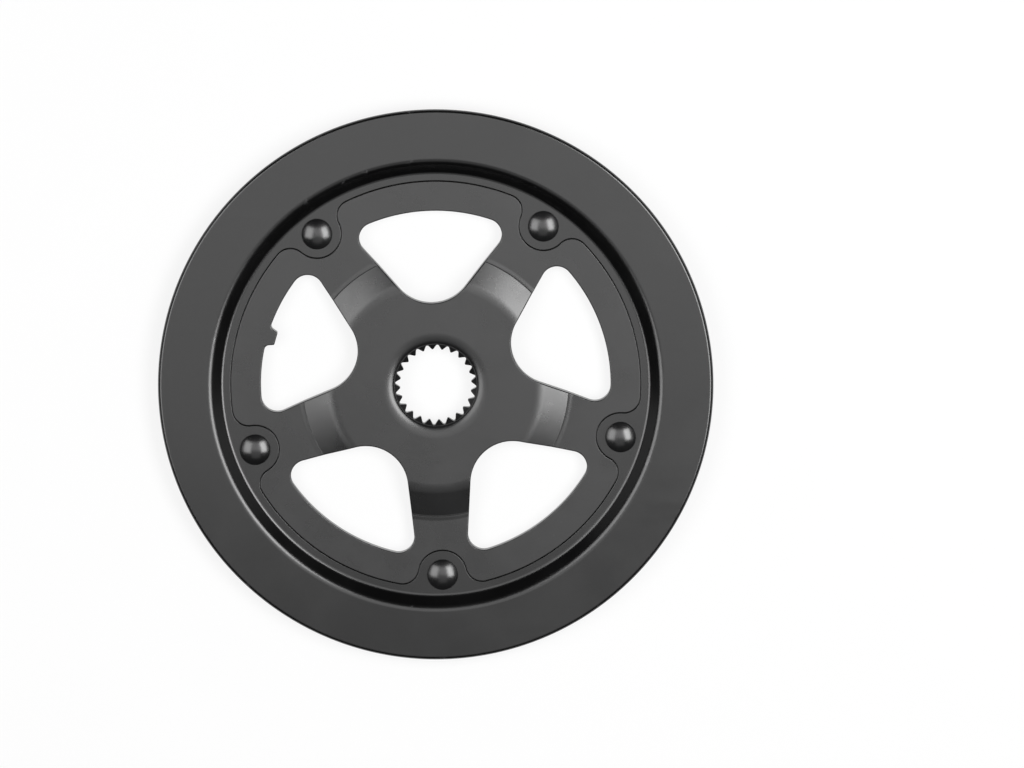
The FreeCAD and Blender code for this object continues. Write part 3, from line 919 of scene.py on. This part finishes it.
def arm_lines(draft, windows, profile, steps):
    """Chains of points across the arms that let a face follow the step."""
    def nearest(side, radius):
        return min(side, key=lambda index: abs(draft.points[index].xy.length - radius))

    lines = []
    for number, (upper, _) in enumerate(windows):
        lower = windows[(number + 1) % len(windows)][1]
        for radius in profile.radii(steps):
            first, last = nearest(upper, radius), nearest(lower, radius)
            start = heading(draft.points[first])
            end = near_swing(heading(draft.points[last]), start + math.pi / len(windows))
            count = max(2, round((end - start) * radius / ARM_SPACING))
            between = [polar(radius, start + (end - start) * step / count) for step in range(1, count)]
            lines.append((first, between, last))
    return lines


def bevel_lines(draft, ring, radius):
    """Chains across the teeth where their bevel starts."""
    found = [index for index in ring if abs(draft.points[index].xy.length - radius) < SAME_RADIUS]
    found.sort(key=lambda index: heading(draft.points[index]))
    one, two, three = [heading(draft.points[index]) for index in found[:3]]
    if two - one > three - two:
        found = found[1:] + found[:1]
    return [(found[index], [], found[index + 1]) for index in range(0, len(found), 2)]


def draft_chainwheel(settings):
    """Mesh of the chainwheel: toothed rim, guard seat, arms, raised hub and splined bore."""
    plate, seat, teeth = settings.plate, settings.seat, settings.teeth
    hub_front, hub_back, rim_front, rim_back, tooth_front = levels(settings)
    draft = MeshDraft()
    bend, crease = plate.bend_radius, plate.crease_radius
    groove, ridge = plate.groove_depth, plate.ridge_height
    front = StepProfile(plate, hub_front, rim_front, bend, crease, groove, ridge)
    back_step = StepProfile(plate, hub_back, rim_back, bend - plate.thickness, crease + plate.thickness)
    tip_radius = tooth_circles(teeth)[1]
    bevel_start = tip_radius - teeth.bevel_length
    fall = teeth.bevel_depth / teeth.bevel_length
    tooth_face = BevelProfile(tooth_front, bevel_start, fall)
    back = BackProfile(back_step, BevelProfile(rim_back, bevel_start, -fall))

    front_windows, back_windows, front_sides, back_sides = [], [], [], []
    radii = front.radii(BEND_STEPS) + back_step.radii(BEND_STEPS)
    for number, swing in enumerate(arm_angles(plate, 0.5)):
        outline = window_outline(plate, number == plate.tab_window)
        places = places_along(outline, radii, plate.window_round)
        upper = [run.point(part).y > 0 for run, part in places]
        moved = {run: placed(run, swing) for run in outline}
        places = [(moved[run], part) for run, part in places]
        rings = rounded_wall(draft, places, front, back, plate.window_round, plate.window_round, steps=5)
        for ring, windows, sides in zip(rings, (front_windows, back_windows), (front_sides, back_sides)):
            windows.append(ring)
            sides.append((
                [index for index, is_upper in zip(ring, upper) if is_upper],
                [index for index, is_upper in zip(ring, upper) if not is_upper],
            ))

    mouth = Mouth(plate, hub_front)
    mouth_top, mouth_foot = turn(draft, [mouth], segments=192)
    places = places_along(lobed_outline(settings, 0.0, BULGE))
    flat_seat = BevelProfile(tooth_front, tip_radius, 0.0)
    shoulder_top, shoulder_foot = rounded_wall(draft, places, front, flat_seat, seat.edge_round, steps=4)
    lines = arm_lines(draft, front_sides, front, BEND_STEPS)
    fill(draft, shoulder_top, front_windows + [mouth_top], lines, front, FRONT)

    mouth_edge = mouth.point(1)
    rise = plate.spline_lead / (mouth_edge.x - plate.spline_tip)
    lead = BevelProfile(mouth_edge.y - mouth_edge.x * rise, 0.0, -rise)
    spline_top, spline_foot = rounded_wall(draft, places_along(spline_outline(plate)), lead, back)
    fill(draft, mouth_foot, [spline_top], [], lead, FRONT)

    front_holes, back_holes = rivet_holes(draft, settings, tooth_face, back)
    edge = teeth.edge_round
    places = places_along(tooth_outline(settings), [bevel_start], edge)
    tooth_top, tooth_foot = rounded_wall(draft, places, tooth_face, back, edge, edge, steps=3)
    lines = bevel_lines(draft, tooth_top, bevel_start)
    fill(draft, tooth_top, [shoulder_foot] + front_holes, lines, tooth_face, FRONT)
    lines = bevel_lines(draft, tooth_foot, bevel_start)
    lines += arm_lines(draft, back_sides, back_step, BEND_STEPS)
    fill(draft, tooth_foot, back_windows + back_holes + [spline_foot], lines, back, BACK)
    return draft


def draft_chain_guard(settings):
    """Mesh of the guard: lobed flange, steep wall and wide band."""
    guard, seat = settings.guard, settings.seat
    _, _, rim_front, _, tooth_front = levels(settings)
    band_front = rim_front + guard.rise
    band_back = band_front - guard.thickness
    slope = math.tan(guard.wall_angle)
    foot = seat.rivet_circle + seat.margin + guard.flange_width
    lip = foot + guard.rise / slope
    shift = guard.thickness / math.sin(guard.wall_angle)
    back_lip = foot + shift + (band_back - rim_front) / slope
    back_foot = foot + shift + (tooth_front - rim_front) / slope
    inner = foot - guard.flange_width / 2
    points = [
        (inner, rim_front),
        (foot, rim_front),
        (lip, band_front),
        (guard.radius, band_front),
        (guard.radius, band_back),
        (back_lip, band_back),
        (back_foot, tooth_front),
        (inner, tooth_front),
    ]
    back = guard.back_fillet
    radii = [0, guard.foot_fillet, guard.lip_fillet, guard.edge_fillet, back, back, back, 0]
    draft = MeshDraft()
    section = round_path([Vector(point) for point in points], radii, steps=10)
    worn = [number for number, run in enumerate(section) if isinstance(run, Arc) and run.side == BULGE]
    flange_front, flange_back = turn(draft, section, segments=288, edge_runs=worn)
    front = BevelProfile(rim_front, guard.radius, 0.0)
    rear = BevelProfile(tooth_front, guard.radius, 0.0)
    places = places_along(lobed_outline(settings, seat.gap, HOLLOW))
    joint_front, joint_back = rounded_wall(draft, places, front, rear, seat.edge_round, steps=4)
    front_holes, back_holes = rivet_holes(draft, settings, front, rear)
    fill(draft, flange_front, [joint_front] + front_holes, [], front, FRONT)
    fill(draft, flange_back, [joint_back] + back_holes, [], rear, BACK)
    return draft


def draft_guard_rivets(settings):
    """Mesh of the rivets: domed head in front, shank, and a tail pressed flat at the back."""
    rivets = settings.rivets
    _, _, rim_front, rim_back, _ = levels(settings)
    dome_radius = (rivets.head_radius ** 2 + rivets.dome_rise ** 2) / (2 * rivets.dome_rise)
    centre = Vector((0, rim_front + rivets.head_side + rivets.dome_rise - dome_radius))
    brim_radius = rivets.head_radius - rivets.brim_round
    brim_swing = math.acos(brim_radius / (dome_radius - rivets.brim_round))
    brim_centre = centre + polar(dome_radius - rivets.brim_round, brim_swing)
    tail_end = rim_back - rivets.tail_height
    brim = Arc(brim_centre, rivets.brim_round, brim_swing, 0.0, steps=6, side=BULGE)
    section = [
        Arc(centre, dome_radius, QUARTER_TURN, brim_swing, steps=20, side=BULGE),
        brim,
        Line((rivets.head_radius, brim_centre.y), (rivets.head_radius, rim_front), steps=1, out=(1, 0)),
        Line((rivets.head_radius, rim_front), (rivets.shank_radius, rim_front), steps=1, out=(0, -1)),
        Line((rivets.shank_radius, rim_front), (rivets.shank_radius, rim_back), steps=1, out=(1, 0)),
    ]
    tail = [
        (rivets.shank_radius, rim_back),
        (rivets.tail_radius, rim_back),
        (rivets.tail_radius, tail_end),
        (0, tail_end),
    ]
    section += round_path([Vector(point) for point in tail], [0, 0, rivets.tail_fillet, 0], steps=6)
    draft = MeshDraft()
    for centre in rivet_centres(settings):
        turn(draft, section, segments=64, centre=centre, edge_runs=[section.index(brim)])
    return draft


# Finishes

def add_node(tree, kind, inputs=None, **settings):
    """Add a node, with values for its inputs and settings."""
    node = tree.nodes.new(kind)
    for name, value in settings.items():
        setattr(node, name, value)
    for name, value in (inputs or {}).items():
        if isinstance(value, bpy.types.NodeSocket):
            tree.links.new(value, node.inputs[name])
        else:
            node.inputs[name].default_value = value
    return node


def new_group(name, inputs, outputs):
    """Empty shader node group with number inputs and outputs."""
    tree = bpy.data.node_groups.new(name, "ShaderNodeTree")
    kind = "NodeSocketFloat"
    for title, default in inputs.items():
        socket = tree.interface.new_socket(name=title, in_out="INPUT", socket_type=kind)
        socket.default_value = default
    for title in outputs:
        tree.interface.new_socket(name=title, in_out="OUTPUT", socket_type=kind)
    return tree, add_node(tree, "NodeGroupInput"), add_node(tree, "NodeGroupOutput")


def math_node(tree, operation, first, second=0.0, clamp=False):
    """Output of a maths node."""
    node = add_node(tree, "ShaderNodeMath", {0: first, 1: second}, operation=operation, use_clamp=clamp)
    return node.outputs[0]


def ramp(tree, value, low, high, to_low=0.0, to_high=1.0):
    """A value moved smoothly from one range to another, and held at its ends."""
    node = add_node(
        tree,
        "ShaderNodeMapRange",
        {"Value": value, "From Min": low, "From Max": high, "To Min": to_low, "To Max": to_high},
        interpolation_type="SMOOTHSTEP",
    )
    return node.outputs["Result"]


def noise(tree, scale, detail, vector=None, roughness=0.5):
    """Noise over the part's own coordinates."""
    where = vector or add_node(tree, "ShaderNodeTexCoord").outputs["Object"]
    inputs = {"Vector": where, "Scale": scale, "Detail": detail, "Roughness": roughness}
    return add_node(tree, "ShaderNodeTexNoise", inputs).outputs["Fac"]


def coat_grain_group():
    """Fine unevenness of a sprayed or moulded skin, as a height."""
    inputs = {"Grains per metre": 2500.0, "Waves per metre": 350.0}
    tree, given, result = new_group("coat_grain", inputs, ["Height"])
    fine = noise(tree, given.outputs["Grains per metre"], detail=2.0)
    broad = noise(tree, given.outputs["Waves per metre"], detail=1.0)
    fine_share = 0.45
    height = math_node(tree, "ADD", math_node(tree, "MULTIPLY", fine, fine_share), broad)
    tree.links.new(height, result.inputs["Height"])
    return tree


def clouding_group():
    """Soft clouds of slightly different colour and gloss, from 0 to 1."""
    tree, given, result = new_group("clouding", {"Clouds per metre": 45.0}, ["Clouds"])
    clouds = noise(tree, given.outputs["Clouds per metre"], detail=4.0, roughness=0.6)
    tree.links.new(ramp(tree, clouds, low=0.32, high=0.68), result.inputs["Clouds"])
    return tree


def rubbed_edge_group():
    """Where handling has rubbed the rounded edges, from 0 to 1."""
    tree, given, result = new_group("rubbed_edge", {"Spots per metre": 220.0, "Amount": 0.5}, ["Rubbed"])
    edge = add_node(tree, "ShaderNodeAttribute", attribute_name=EDGE_LAYER).outputs["Fac"]
    spots = noise(tree, given.outputs["Spots per metre"], detail=5.0, roughness=0.65)
    bare_start, amount_reach, softness = 0.78, 0.5, 0.16
    reached = math_node(tree, "MULTIPLY", given.outputs["Amount"], amount_reach)
    low = math_node(tree, "SUBTRACT", bare_start, reached)
    high = math_node(tree, "ADD", low, softness)
    rubbed = math_node(tree, "MULTIPLY", ramp(tree, spots, low, high), edge, clamp=True)
    tree.links.new(rubbed, result.inputs["Rubbed"])
    return tree


def wipe_marks_group():
    """Faint smears that a hand or cloth leaves, from 0 to 1."""
    tree, given, result = new_group("wipe_marks", {"Marks per metre": 60.0, "Slant": 0.4}, ["Marks"])
    where = add_node(tree, "ShaderNodeTexCoord").outputs["Object"]
    turn_in = add_node(tree, "ShaderNodeCombineXYZ", {"Z": given.outputs["Slant"]}).outputs["Vector"]
    stretched = {"Vector": where, "Rotation": turn_in, "Scale": (0.18, 1.6, 1.0)}
    along = add_node(tree, "ShaderNodeMapping", stretched).outputs["Vector"]
    streaks = noise(tree, given.outputs["Marks per metre"], detail=6.0, vector=along, roughness=0.7)
    streaks = ramp(tree, streaks, low=0.52, high=0.74)
    patches = ramp(tree, noise(tree, scale=16.0, detail=2.0), low=0.48, high=0.66)
    tree.links.new(math_node(tree, "MULTIPLY", streaks, patches), result.inputs["Marks"])
    return tree


def dust_group():
    """Specks of dust on faces that look up, from 0 to 1."""
    tree, given, result = new_group("dust", {"Specks per metre": 420.0, "Amount": 0.5}, ["Specks"])
    where = add_node(tree, "ShaderNodeTexCoord").outputs["Object"]
    spread = {"Vector": where, "Scale": given.outputs["Specks per metre"], "Randomness": 1.0}
    cells = add_node(tree, "ShaderNodeTexVoronoi", spread)
    chosen = add_node(tree, "ShaderNodeSeparateColor", {"Color": cells.outputs["Color"]})
    rare = ramp(tree, chosen.outputs["Red"], low=0.90, high=0.97)
    size = ramp(tree, cells.outputs["Distance"], low=0.05, high=0.16, to_low=1.0, to_high=0.0)
    facing = add_node(tree, "ShaderNodeNewGeometry").outputs["Normal"]
    normal = add_node(tree, "ShaderNodeSeparateXYZ", {"Vector": facing})
    upward = ramp(tree, normal.outputs["Z"], low=0.7, high=0.98)
    specks = math_node(tree, "MULTIPLY", math_node(tree, "MULTIPLY", rare, size), upward)
    specks = math_node(tree, "MULTIPLY", specks, given.outputs["Amount"], clamp=True)
    tree.links.new(specks, result.inputs["Specks"])
    return tree


def effect(tree, name, maker, **inputs):
    """Output of a shared node group, which is built the first time it is asked for."""
    group = bpy.data.node_groups.get(name) or maker()
    values = {title.replace("_", " "): value for title, value in inputs.items()}
    return add_node(tree, "ShaderNodeGroup", values, node_tree=group).outputs[0]


def blend_colours(tree, amount, first, second):
    """Colour between two others, each of them a socket or a plain colour."""
    inputs = {MIX_FACTOR: amount}
    for place, value in ((MIX_FIRST, first), (MIX_SECOND, second)):
        inputs[place] = value if isinstance(value, bpy.types.NodeSocket) else (*value, 1.0)
    return add_node(tree, "ShaderNodeMix", inputs, data_type="RGBA").outputs[MIX_RESULT]


def new_material(name):
    """Material with a bare Principled shader."""
    material = bpy.data.materials.new(name)
    material.use_nodes = True
    tree = material.node_tree
    tree.nodes.clear()
    shader = add_node(tree, "ShaderNodeBsdfPrincipled")
    output = add_node(tree, "ShaderNodeOutputMaterial")
    tree.links.new(shader.outputs["BSDF"], output.inputs["Surface"])
    return material, tree, shader


def black_finish(
    name, base, pale, colours, ior, gloss, relief, grain, clouds, rubbing, marks, dulling, specks
):
    """Satin black skin with clouded gloss, fine grain, rubbed edges, wipe marks and a little dust."""
    material, tree, shader = new_material(name)
    height = effect(tree, "coat_grain", coat_grain_group, **grain)
    clouded = effect(tree, "clouding", clouding_group, Clouds_per_metre=clouds)
    rubbed = effect(tree, "rubbed_edge", rubbed_edge_group, **rubbing)
    wiped = effect(tree, "wipe_marks", wipe_marks_group, **marks)
    dusted = effect(tree, "dust", dust_group, **specks)
    skin = blend_colours(tree, clouded, base, pale)
    skin = blend_colours(tree, math_node(tree, "MULTIPLY", rubbed, RUBBED_COVER), skin, colours.rubbed)
    skin = blend_colours(tree, dusted, skin, colours.dust)
    tree.links.new(skin, shader.inputs["Base Color"])
    rough = ramp(tree, clouded, low=0.0, high=1.0, to_low=gloss[0], to_high=gloss[1])
    rough = math_node(tree, "ADD", rough, math_node(tree, "MULTIPLY", wiped, dulling))
    polished = math_node(tree, "MULTIPLY", rubbed, RUBBED_POLISH)
    rough = math_node(tree, "SUBTRACT", rough, polished, clamp=True)
    tree.links.new(rough, shader.inputs["Roughness"])
    shader.inputs["IOR"].default_value = ior
    relieved = {"Height": height, "Strength": GRAIN_STRENGTH, "Distance": relief}
    bump = add_node(tree, "ShaderNodeBump", relieved)
    tree.links.new(bump.outputs["Normal"], shader.inputs["Normal"])
    return material


def coated_steel(colours):
    """Black satin coat on the pressed steel wheel."""
    return black_finish(
        "coated_steel", colours.coat, colours.coat_pale, colours,
        ior=1.71,
        gloss=(0.26, 0.31),
        relief=0.02 * MM,
        grain={"Grains_per_metre": 2600.0, "Waves_per_metre": 420.0},
        clouds=55.0,
        rubbing={"Spots_per_metre": 240.0, "Amount": 0.45},
        marks={"Marks_per_metre": 70.0, "Slant": 0.5},
        dulling=0.05,
        specks={"Specks_per_metre": 430.0, "Amount": 0.04},
    )


def guard_plastic(colours):
    """Satin black moulded plastic."""
    return black_finish(
        "guard_plastic", colours.plastic, colours.plastic_pale, colours,
        ior=1.68,
        gloss=(0.22, 0.27),
        relief=0.02 * MM,
        grain={"Grains_per_metre": 3200.0, "Waves_per_metre": 260.0},
        clouds=32.0,
        rubbing={"Spots_per_metre": 180.0, "Amount": 0.35},
        marks={"Marks_per_metre": 55.0, "Slant": -0.1},
        dulling=-0.09,
        specks={"Specks_per_metre": 380.0, "Amount": 0.04},
    )


def rivet_steel(colours):
    """Blackened steel of the rivets, shinier than the plate."""
    return black_finish(
        "rivet_steel", colours.rivet, colours.rivet_pale, colours,
        ior=1.76,
        gloss=(0.22, 0.25),
        relief=0.005 * MM,
        grain={"Grains_per_metre": 2400.0, "Waves_per_metre": 300.0},
        clouds=180.0,
        rubbing={"Spots_per_metre": 500.0, "Amount": 0.4},
        marks={"Marks_per_metre": 240.0, "Slant": 0.9},
        dulling=0.06,
        specks={"Specks_per_metre": 600.0, "Amount": 0.04},
    )


# Stage

def floor_material(colour_value, glow):
    """Pale floor that shows white and keeps the part's shadow."""
    material, tree, shader = new_material("photo_table")
    speckle = ramp(tree, noise(tree, scale=30.0, detail=3.0), low=0.3, high=0.7)
    darker = [channel * FLOOR_TINT for channel in colour_value]
    tree.links.new(blend_colours(tree, speckle, darker, colour_value), shader.inputs["Base Color"])
    shader.inputs["Roughness"].default_value = FLOOR_ROUGHNESS
    shader.inputs["Specular IOR Level"].default_value = 0.0
    glowing = add_node(tree, "ShaderNodeEmission", {"Color": (1, 1, 1, 1), "Strength": 1.0})
    path = add_node(tree, "ShaderNodeLightPath")
    seen = math_node(tree, "MAXIMUM", path.outputs["Is Camera Ray"], path.outputs["Is Glossy Ray"])
    seen = math_node(tree, "MAXIMUM", seen, path.outputs["Is Transmission Ray"])
    mixed = add_node(tree, "ShaderNodeMixShader", {"Fac": math_node(tree, "MULTIPLY", seen, glow)})
    tree.links.new(shader.outputs["BSDF"], mixed.inputs[1])
    tree.links.new(glowing.outputs["Emission"], mixed.inputs[2])
    output = next(node for node in tree.nodes if node.type == "OUTPUT_MATERIAL")
    tree.links.new(mixed.outputs["Shader"], output.inputs["Surface"])
    return material


def add_floor(level, colours, stage):
    """Wide floor at the part's lowest level, with a low backdrop round it for views from the side."""
    half, top = stage.floor_half, level + stage.backdrop_height
    mesh = bpy.data.meshes.new("photo_table")
    around = ((-half, -half), (half, -half), (half, half), (-half, half))
    corners = [(x, y, z) for z in (level, top) for x, y in around]
    sides = [(corner, corner + 4, (corner + 1) % 4 + 4, (corner + 1) % 4) for corner in range(4)]
    mesh.from_pydata(corners, [], [(0, 1, 2, 3)] + sides)
    mesh.materials.append(floor_material(colours.floor, stage.floor_glow))
    floor = put_in_scene("photo_table", mesh)


def add_softbox(name, stage, size, radiance, swing=0.0, forward=0.0, sideways=0.0, slant=0.0):
    """Soft lamp at an angle to the vertical, which faces the part with a given radiance."""
    lamp = bpy.data.lights.new(name, "AREA")
    lamp.shape = "RECTANGLE"
    lamp.size, lamp.size_y = size
    lamp.energy = radiance * math.pi * size[0] * size[1]
    box = put_in_scene(name, lamp)
    reach = stage.lamp_distance
    box.location = (math.sin(swing) * reach + sideways, forward, math.cos(swing) * reach)
    box.rotation_mode = "ZYX"
    box.rotation_euler = (0, swing, slant)
    box.visible_camera = False


def add_lamps(stage):
    """A strong softbox on the right, a weaker one on the left, two panels overhead and two walls."""
    add_softbox(
        "right_softbox", stage, (stage.right_width, stage.box_length), stage.right_brightness,
        swing=stage.right_angle, forward=stage.right_forward, slant=stage.box_slant,
    )
    add_softbox(
        "left_softbox", stage, (stage.left_width, stage.box_length), stage.left_brightness,
        swing=-stage.left_angle, forward=stage.left_forward, slant=-stage.box_slant,
    )
    add_softbox(
        "overhead_panel", stage, (stage.panel_width, stage.panel_length), stage.panel_brightness,
        forward=stage.panel_forward, sideways=stage.panel_side,
    )
    add_softbox(
        "dim_fill", stage, (stage.fill_size, stage.fill_size), stage.fill_brightness,
        forward=-stage.fill_back,
    )
    for name, swing in (("right_wall", stage.wall_angle), ("left_wall", -stage.wall_angle)):
        add_softbox(
            name, stage, (stage.wall_width, stage.box_length), stage.wall_brightness,
            swing=swing, forward=stage.wall_forward,
        )


def set_world(ambient):
    """Even low light from all round."""
    world = bpy.data.worlds.new("studio")
    world.use_nodes = True
    tree = world.node_tree
    tree.nodes.clear()
    room = add_node(tree, "ShaderNodeBackground", {"Color": (1, 1, 1, 1), "Strength": ambient})
    output = add_node(tree, "ShaderNodeOutputWorld")
    tree.links.new(room.outputs["Background"], output.inputs["Surface"])
    bpy.context.scene.world = world


def add_camera(stage):
    """Camera that looks down on the part at the photograph's angle."""
    camera = bpy.data.cameras.new("photo_camera")
    camera.sensor_width = stage.sensor / MM
    frame_width = stage.pixel_size * PHOTO_WIDTH_PX
    camera.lens = camera.sensor_width * stage.camera_distance / frame_width
    camera.clip_start = CAMERA_NEAR
    viewer = put_in_scene("photo_camera", camera)
    aim = Vector((stage.aim_side, stage.aim_up, stage.aim_level))
    tilt = stage.camera_tilt
    viewer.location = aim + Vector((0, math.sin(tilt), math.cos(tilt))) * stage.camera_distance
    viewer.rotation_euler = (-tilt, 0, 0)
    bpy.context.scene.camera = viewer


# Operators

def finish_piece(piece, node):
    """Let a piece stand for its CAD node by hiding the node, and attach the piece to the root body."""
    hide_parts(node)
    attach(piece, "root")


class SPROCKET_OT_chainwheel(bpy.types.Operator):
    """Build the coated steel chainwheel"""

    bl_idname = "sprocket.chainwheel"
    bl_label = "Chainwheel"

    def execute(self, context):
        settings = context.scene.sprocket
        piece = draft_chainwheel(settings).build("pressed_chainwheel", coated_steel(settings.colours))
        finish_piece(piece, "chainwheel")
        return {"FINISHED"}


class SPROCKET_OT_chain_guard(bpy.types.Operator):
    """Build the moulded chain guard"""

    bl_idname = "sprocket.chain_guard"
    bl_label = "Chain guard"

    def execute(self, context):
        settings = context.scene.sprocket
        piece = draft_chain_guard(settings).build("moulded_guard", guard_plastic(settings.colours))
        finish_piece(piece, "chain_guard")
        return {"FINISHED"}


class SPROCKET_OT_guard_rivets(bpy.types.Operator):
    """Build the dome-head rivets that hold the guard"""

    bl_idname = "sprocket.guard_rivets"
    bl_label = "Guard rivets"

    def execute(self, context):
        settings = context.scene.sprocket
        piece = draft_guard_rivets(settings).build("dome_rivets", rivet_steel(settings.colours))
        finish_piece(piece, "guard_rivets")
        return {"FINISHED"}


class SPROCKET_OT_stage(bpy.types.Operator):
    """Set up the floor, the lamps and the camera"""

    bl_idname = "sprocket.stage"
    bl_label = "Photo stage"

    def execute(self, context):
        settings = context.scene.sprocket
        stage = settings.stage
        add_floor(CAD_BOX[0][2], settings.colours, stage)
        add_lamps(stage)
        set_world(stage.ambient)
        add_camera(stage)
        context.scene.view_settings.view_transform = "Standard"
        return {"FINISHED"}


class SPROCKET_PT_panel(bpy.types.Panel):
    """Sidebar panel with the sprocket's pieces, sizes and colours"""

    bl_idname = "SPROCKET_PT_panel"
    bl_label = "Bicycle Sprocket"
    bl_space_type = "VIEW_3D"
    bl_region_type = "UI"
    bl_category = "Sprocket"

    def draw(self, context):
        settings = context.scene.sprocket
        for operator in OPERATORS:
            self.layout.operator(operator.bl_idname)
        for title in SprocketSettings.__annotations__:
            group = getattr(settings, title)
            box = self.layout.box()
            box.label(text=title.capitalize())
            for name in group.__annotations__:
                box.prop(group, name)


GROUPS = (
    ToothSizes, PlateSizes, SeatSizes, GuardSizes, RivetSizes,
    FinishColours, StageSettings, SprocketSettings,
)
OPERATORS = (
    SPROCKET_OT_chainwheel, SPROCKET_OT_chain_guard, SPROCKET_OT_guard_rivets, SPROCKET_OT_stage,
)
CLASSES = GROUPS + OPERATORS + (SPROCKET_PT_panel,)


def register():
    for item in CLASSES:
        bpy.utils.register_class(item)
    bpy.types.Scene.sprocket = PointerProperty(type=SprocketSettings)


def unregister():
    del bpy.types.Scene.sprocket
    for item in reversed(CLASSES):
        bpy.utils.unregister_class(item)


def main():
    register()
    bpy.ops.sprocket.chainwheel()
    bpy.ops.sprocket.chain_guard()
    bpy.ops.sprocket.guard_rivets()
    bpy.ops.sprocket.stage()


if __name__ == "__main__":
    main()
